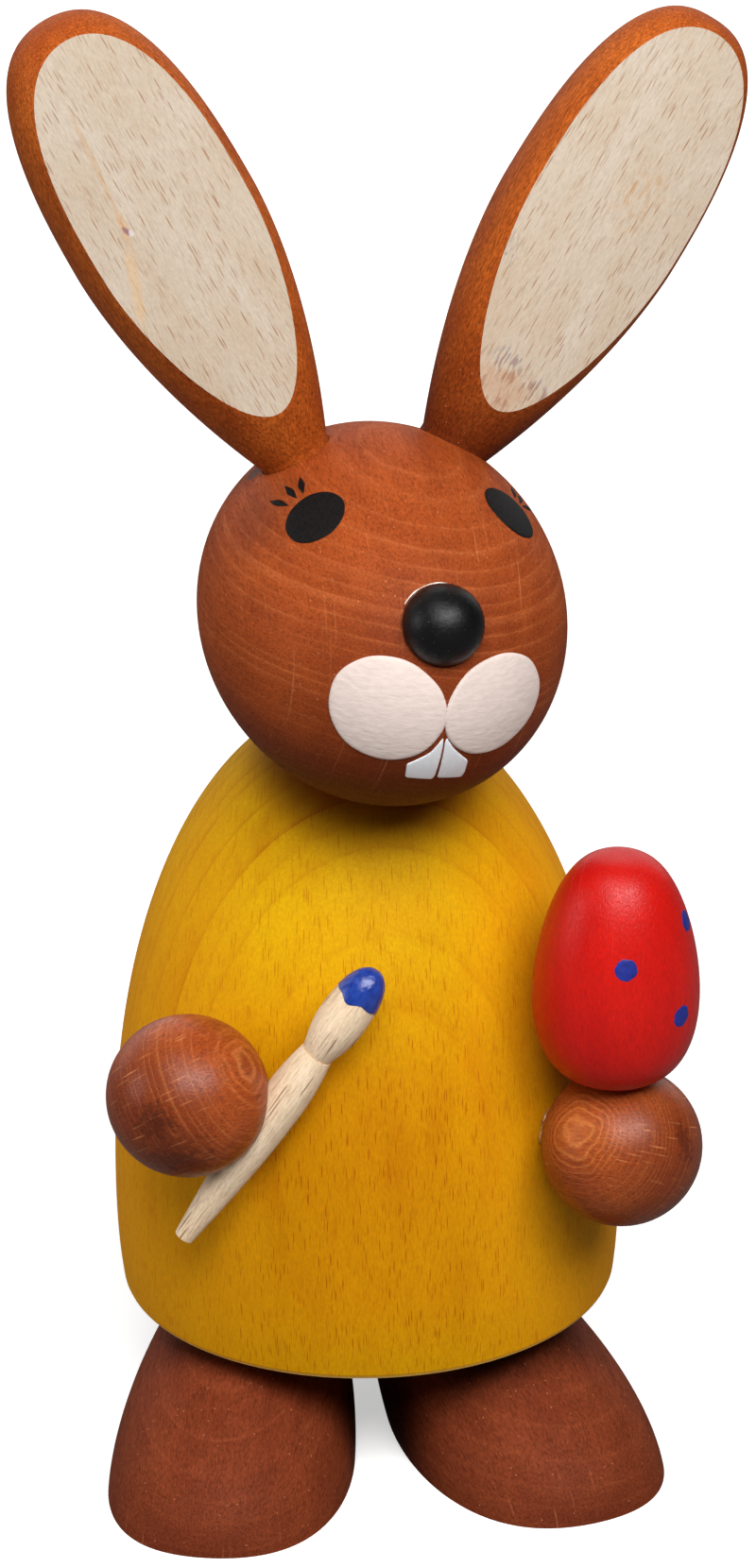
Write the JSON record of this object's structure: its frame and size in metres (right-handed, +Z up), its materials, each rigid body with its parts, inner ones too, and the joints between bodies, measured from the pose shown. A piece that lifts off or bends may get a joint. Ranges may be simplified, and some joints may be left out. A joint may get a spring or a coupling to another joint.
{
  "type": "rabbit figurine",
  "caption": "Standing rabbit figurine of turned, stained wood with long flat-faced ears, bell-shaped body, ball hands and egg-shaped feet, holding an Easter egg and a paint brush.",
  "frame": {"origin": "on the ground under the middle of the whole figure's box, between the feet", "axes": "+Z up from the ground; the figure faces -Y; its own left, the side of the egg, is +X"},
  "size_m": [0.0768, 0.0634, 0.1604],
  "materials": {
    "body_stain": "yellow stain on turned beech, satin",
    "head_stain": "orange-brown stain on turned beech, satin",
    "ear_stain": "brown stain on turned beech, milled flats left bare",
    "nose_paint": "satin black paint on a turned half ball",
    "hand_stain": "brown stain, semi-gloss",
    "brush_wood": "pale bare beech with a blue painted tip",
    "egg_stain": "red stain, satin, with blue painted dots",
    "foot_stain": "dark brown stain, nearly matt",
    "dowel_wood": "bare beech dowel"
  },
  "bodies": {
    "root": {"body": "body_stain", "head": "head_stain", "right_ear": "ear_stain", "left_ear": "ear_stain", "nose": "nose_paint", "right_hand": "hand_stain", "left_hand": "hand_stain", "paint_brush": "brush_wood", "egg": "egg_stain", "right_foot": "foot_stain", "left_foot": "foot_stain", "neck_dowel": "dowel_wood", "right_hand_dowel": "dowel_wood", "left_hand_dowel": "dowel_wood", "right_foot_dowel": "dowel_wood", "left_foot_dowel": "dowel_wood"}
  },
  "joints": []
}
